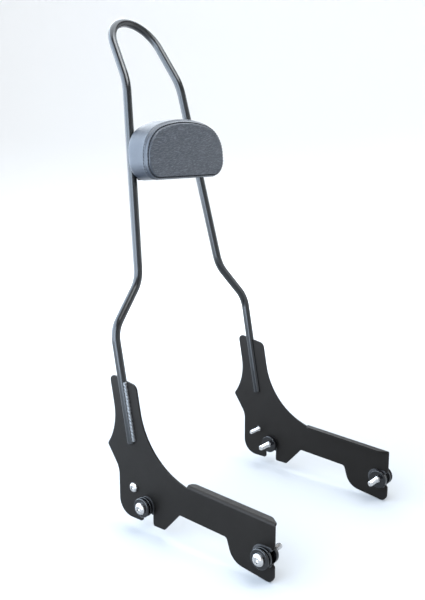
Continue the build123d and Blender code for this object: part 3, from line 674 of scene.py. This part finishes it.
def pad_rings(shape):
    """Rings of the cover from the middle of its face to its pocket, with whether each is held."""
    rim = shape.ring(0, SEAM_INSET + FACE_RIM, SEAM_DROP)
    rows = []
    for k in range(1, FACE_RINGS):
        share = k / FACE_RINGS
        rows.append(([shape.front_centre.lerp(p, share) for p in rim], False))
    rows.append((rim, False))
    for depth, inset in FACE_EDGE:
        rows.append((shape.ring(depth, SEAM_INSET + inset, SEAM_DROP), False))
    rows.append((shape.ring(SEAM_DEPTH, SEAM_INSET, SEAM_DROP), True))
    for depth, inset in STRIP_ROWS:
        drop = SEAM_DROP * (1 - depth / STITCH_DEPTH)
        rows.append((shape.ring(SEAM_DEPTH + depth, SEAM_INSET + inset, drop), False))
    for depth, inset in STITCH_BEFORE:
        rows.append((shape.ring(STITCH_DEPTH + depth, inset), False))
    rows.append((shape.ring(STITCH_DEPTH, STITCH_INSET), True))
    for depth, inset in STITCH_AFTER:
        rows.append((shape.ring(STITCH_DEPTH + depth, inset), False))
    band_start = STITCH_DEPTH + BAND_START
    band_end = PAD_THICKNESS - BACK_ROUND - BAND_END
    for k in range(BAND_ROWS):
        depth = band_start + (band_end - band_start) * k / (BAND_ROWS - 1)
        rows.append((shape.ring(depth, PAD_START), False))
    for k in range(BACK_STEPS + 1):
        turn = pi / 2 * k / BACK_STEPS
        inset = BACK_ROUND * (1 - cos(turn))
        height = BACK_ROUND * (1 - sin(turn))
        rows.append((shape.back_ring(height, PAD_START * cos(turn) + inset), True))
    for inset in BACK_INSETS:
        rows.append((shape.back_ring(0, inset), True))
    for height in POCKET_HEIGHTS:
        rows.append((shape.back_ring(height, POCKET_INSET), True))
    floor_centre = pad_point(0, POCKET_MIDDLE, PAD_BACK + POCKET_DEPTH)
    floor_edge = shape.back_ring(POCKET_DEPTH, POCKET_INSET)
    for share in POCKET_SHARES:
        rows.append(([p.lerp(floor_centre, share) for p in floor_edge], True))
    return rows, floor_centre


def point_tree(points):
    """Search tree over points."""
    tree = KDTree(len(points))
    for i, p in enumerate(points):
        tree.insert(p, i)
    tree.balance()
    return tree


def swell(rows, first, last):
    """Blows the cover up as cloth held at its seams and back, and gives the move of each ring's points."""
    mesh = skin([ring for ring, _ in rows], first, last)
    cover = bpy.data.objects.new("pad_cloth", mesh)
    bpy.context.scene.collection.objects.link(cover)
    remesh = cover.modifiers.new("even", "REMESH")
    remesh.mode = "VOXEL"
    remesh.voxel_size = CLOTH_VOXEL
    graph = bpy.context.evaluated_depsgraph_get()
    even = bpy.data.meshes.new_from_object(cover.evaluated_get(graph))
    cover.modifiers.clear()
    cover.data = even
    tree = point_tree([p for ring, held in rows if held for p in ring])
    pins = cover.vertex_groups.new(name="held")
    for v in even.vertices:
        distance = tree.find(v.co)[2]
        weight = min(1, max(0, HELD_START - distance / CLOTH_VOXEL * HELD_FADE))
        if weight > 0:
            pins.add([v.index], weight, "REPLACE")
    cloth = cover.modifiers.new("cloth", "CLOTH")
    cloth.settings.quality = CLOTH_QUALITY
    cloth.settings.use_pressure = True
    cloth.settings.uniform_pressure_force = CLOTH_PRESSURE
    cloth.settings.vertex_group_mass = "held"
    cloth.settings.effector_weights.gravity = 0
    cloth.settings.tension_stiffness = CLOTH_STIFFNESS
    cloth.settings.compression_stiffness = CLOTH_STIFFNESS
    cloth.settings.bending_stiffness = CLOTH_BENDING
    for number in range(1, CLOTH_FRAMES + 1):
        bpy.context.scene.frame_set(number)
    graph = bpy.context.evaluated_depsgraph_get()
    blown = bpy.data.meshes.new_from_object(cover.evaluated_get(graph))
    moves = [after.co - before.co for after, before in zip(blown.vertices, even.vertices)]
    bpy.context.scene.frame_set(1)
    tree = point_tree([v.co for v in even.vertices])
    shifts = []
    for ring, held in rows:
        ring_shifts = []
        for p in ring:
            total = Vector()
            weights = 0
            for _, index, distance in tree.find_n(p, CLOTH_NEAREST):
                weight = 1 / (distance + CLOTH_VOXEL / 4)
                total += moves[index] * weight
                weights += weight
            shift = total / weights
            if shift.length > PAD_CAP:
                shift *= PAD_CAP / shift.length
            ring_shifts.append(Vector() if held else shift)
        shifts.append(ring_shifts)
    bpy.data.objects.remove(cover)
    for used in (mesh, even, blown):
        bpy.data.meshes.remove(used)
    return shifts


def arc_lengths(ring):
    """Distance along a closed ring at each of its points, and the whole way round."""
    lengths = [0.0]
    for i in range(len(ring)):
        lengths.append(lengths[-1] + (ring[(i + 1) % len(ring)] - ring[i]).length)
    return lengths[:-1], lengths[-1]


def stitch_spacing(ring):
    """Distances along a ring, the whole way round, and the number and pitch of the stitches on it."""
    along, whole = arc_lengths(ring)
    count = round(whole / STITCH_PITCH)
    return along, whole, count, whole / count


def pad(cover_material, thread_material):
    """Upholstered pad with its seam, puckers and stitches."""
    shape = PadShape()
    rows, floor_centre = pad_rings(shape)
    rings = [list(ring) for ring, _ in rows]
    for ring, ring_shifts in zip(rings, swell(rows, shape.front_centre, floor_centre)):
        for i, shift in enumerate(ring_shifts):
            ring[i] = ring[i] + shift
    seam_row, stitch_row = [i for i, (_, held) in enumerate(rows) if held][:2]
    along, _, _, pitch = stitch_spacing(rings[stitch_row])
    for row in range(seam_row - PUCKER_ROWS, stitch_row + PUCKER_ROWS + 1):
        near_stitch = max(0, 1 - abs(row - stitch_row) / STITCH_REACH)
        near_seam = max(0, 1 - abs(row - seam_row) / SEAM_REACH)
        for i in range(shape.columns):
            wave = cos(2 * pi * along[i] / pitch)
            uneven = noise.noise(Vector((along[i] * UNEVEN_ALONG, row * UNEVEN_ACROSS, 0)))
            lift = STITCH_PUCKER * near_stitch * wave + SEAM_PUCKER * near_seam * wave
            lift += UNEVEN_PUCKER * uneven * near_stitch
            rings[row][i] = rings[row][i] + shape.out[i] * lift
    centre = sum(rings[0], Vector()) / shape.columns
    mesh = skin(rings, centre, floor_centre)
    cover = piece("pad_cover", mesh, cover_material, "pad_leather", "pad_cushion", sharp=None)
    smooth = cover.modifiers.new("smooth", "SUBSURF")
    smooth.levels = 1
    smooth.render_levels = 1
    smooth.use_limit_surface = False
    ahead = pad_point(0, 0, 1) - pad_point(0, 0, 0)
    seam_out = [(out + ahead).normalized() for out in shape.out]
    lines = (
        (rings[stitch_row], shape.out, STITCH_LIFT, STITCH_LENGTH, STITCH_RADIUS),
        (rings[seam_row], seam_out, SEAM_LIFT, SEAM_STITCH, SEAM_THREAD),
    )
    stitches = []
    for ring, out, lift, length, radius in lines:
        raised = [p + direction * lift for p, direction in zip(ring, out)]
        stitches += stitch_line(raised, out, length, radius)
    piece("pad_stitches", joined(stitches), thread_material, "pad_leather", sharp=None)


def stitch_line(ring, out, length, radius):
    """Stitches along a closed ring of points, lying on the side that the outward directions face."""
    along, whole, count, pitch = stitch_spacing(ring)
    stitches = []
    for k in range(count):
        ends = []
        for offset in (-0.5, 0.5):
            spot = (k * pitch + offset * length + pitch / 2) % whole
            i = max(j for j in range(len(ring)) if along[j] <= spot)
            after = (i + 1) % len(ring)
            share = (spot - along[i]) / (ring[after] - ring[i]).length
            ends.append((ring[i].lerp(ring[after], share), out[i]))
        stitches.append(stitch_mesh(ends, radius))
    return stitches


def stitch_mesh(ends, radius):
    """One stitch between two points on the cover, dipping into it at both ends."""
    (start, out), (end, _) = ends
    along = (end - start).normalized()
    side = along.cross(out).normalized()
    rings = []
    for k in range(1, STITCH_STEPS):
        t = k / STITCH_STEPS
        fat = radius * min(1, STITCH_SWELL * sqrt(t * (1 - t)))
        centre = start.lerp(end, t) + out * (radius * (STITCH_SWELL * t * (1 - t) - STITCH_SINK))
        ring = []
        for c in range(STITCH_STEPS):
            turn = 2 * pi * c / STITCH_STEPS
            ring.append(centre + (side * cos(turn) + out * sin(turn)) * fat)
        rings.append(ring)
    return skin(rings, start - out * radius * STITCH_DIP, end - out * radius * STITCH_DIP)


def pad_screws(material):
    """The four screws behind the mount plate."""
    behind = pad_point(0, 0, -1) - pad_point(0, 0, 0)
    turn = Vector((0, 0, 1)).rotation_difference(behind).to_matrix().to_4x4()
    meshes = []
    for x in (-1, 1):
        for y in (-1, 1):
            seat = pad_point(x * SCREW_SPREAD, SCREW_MIDDLE + y * SCREW_ROWS, WASHER_BACK)
            meshes.append(screw_mesh(Matrix.Translation(seat) @ turn, PAD_SCREW))
    piece("pad_screws_finished", joined(meshes), material, "zinc_steel", "pad_screws")


def area_light(name, place, target, width, height, power, colour):
    """Softbox facing a point."""
    light = bpy.data.lights.new(name, "AREA")
    light.shape = "RECTANGLE"
    light.size = width
    light.size_y = height
    light.energy = power
    light.color = colour
    lamp = bpy.data.objects.new(name, light)
    lamp.visible_camera = False
    bpy.context.scene.collection.objects.link(lamp)
    lamp.location = place
    lamp.rotation_euler = (Vector(target) - Vector(place)).to_track_quat("-Z", "Y").to_euler()


def studio():
    """Pale floor that curves up into a wall all round, a soft sky and softboxes."""
    ground = cad_box[0].z - FLOOR_GAP
    profile = [(radius, ground) for radius in FLOOR_RADII]
    for k in range(1, WALL_STEPS + 1):
        turn = pi / 2 * k / WALL_STEPS
        profile.append((FLOOR_RADII[-1] + WALL_CURVE * sin(turn), ground + WALL_CURVE * (1 - cos(turn))))
    angles = [2 * pi * c / FLOOR_COLUMNS for c in range(FLOOR_COLUMNS)]
    rings = []
    for radius, z in profile:
        rings.append([Vector((radius * cos(a), radius * sin(a), z)) for a in angles])
    mesh = skin(rings, Vector((0, 0, ground)))
    mesh.shade_smooth()
    mesh.materials.append(studio_floor())
    bowl = bpy.data.objects.new("studio_floor", mesh)
    bpy.context.scene.collection.objects.link(bowl)
    world = bpy.data.worlds.new("studio_sky")
    world.use_nodes = True
    sky = world.node_tree.nodes["Background"].inputs
    sky["Color"].default_value = SKY_COLOUR
    sky["Strength"].default_value = SKY_STRENGTH
    bpy.context.scene.world = world
    for softbox in SOFTBOXES:
        area_light(*softbox)


def camera():
    """Camera at the photograph's angle."""
    data = bpy.data.cameras.new("camera")
    data.lens = CAMERA_LENS
    data.shift_x = -HALF_PIXEL
    data.shift_y = HALF_PIXEL
    made = bpy.data.objects.new("camera", data)
    bpy.context.scene.collection.objects.link(made)
    made.location = CAMERA_PLACE
    made.rotation_euler = (pi / 2 - CAMERA_PITCH, 0, -CAMERA_YAW)
    bpy.context.scene.camera = made


def paint_node(node, material):
    """Gives a CAD node that shows as it is a finished material."""
    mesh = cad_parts[node].data
    mesh.materials.clear()
    mesh.materials.append(material)


def build():
    """Dresses every piece of the part."""
    plate = plate_paint()
    weld = weld_paint()
    steel = bolt_steel()
    zinc = zinc_plate()
    spool = spool_finish()
    nylon = liner_nylon()
    softened("hoop_bar", BAR_EDGE, bar_paint(), "bar_black")
    softened("pad_mount_plate", MOUNT_EDGE, plate, "plate_black")
    softened("pad_base_board", BOARD_EDGE, plywood(), "board_ply")
    softened("pad_washers", ZINC_EDGE, zinc, "zinc_steel")
    softened("pad_tee_nuts", ZINC_EDGE, zinc, "zinc_steel")
    paint_node("mount_plate_welds", weld)
    for side_name, side in (("right", -1), ("left", 1)):
        softened(side_name + "_side_plate", PLATE_EDGE, plate, "plate_black")
        weld_bead(side, side_name + "_weld_bead", weld)
        for dock in ("_rear", "_front"):
            softened(side_name + dock + "_docking_spool", SPOOL_EDGE, spool, "spool_black")
            softened(side_name + dock + "_slot_liner", LINER_EDGE, nylon, "liner_black")
            side_screw(side_name + dock + "_docking_bolt", DOCKING_BOLT, steel)
        side_screw(side_name + "_lock_screw", LOCK_SCREW, steel)
    pad(leather(), thread())
    pad_screws(zinc)


build()
studio()
camera()
scene = bpy.context.scene
scene.view_settings.view_transform = "Standard"
scene.cycles.max_bounces = 5
scene.cycles.diffuse_bounces = 2
scene.cycles.glossy_bounces = 3
scene.cycles.caustics_reflective = False
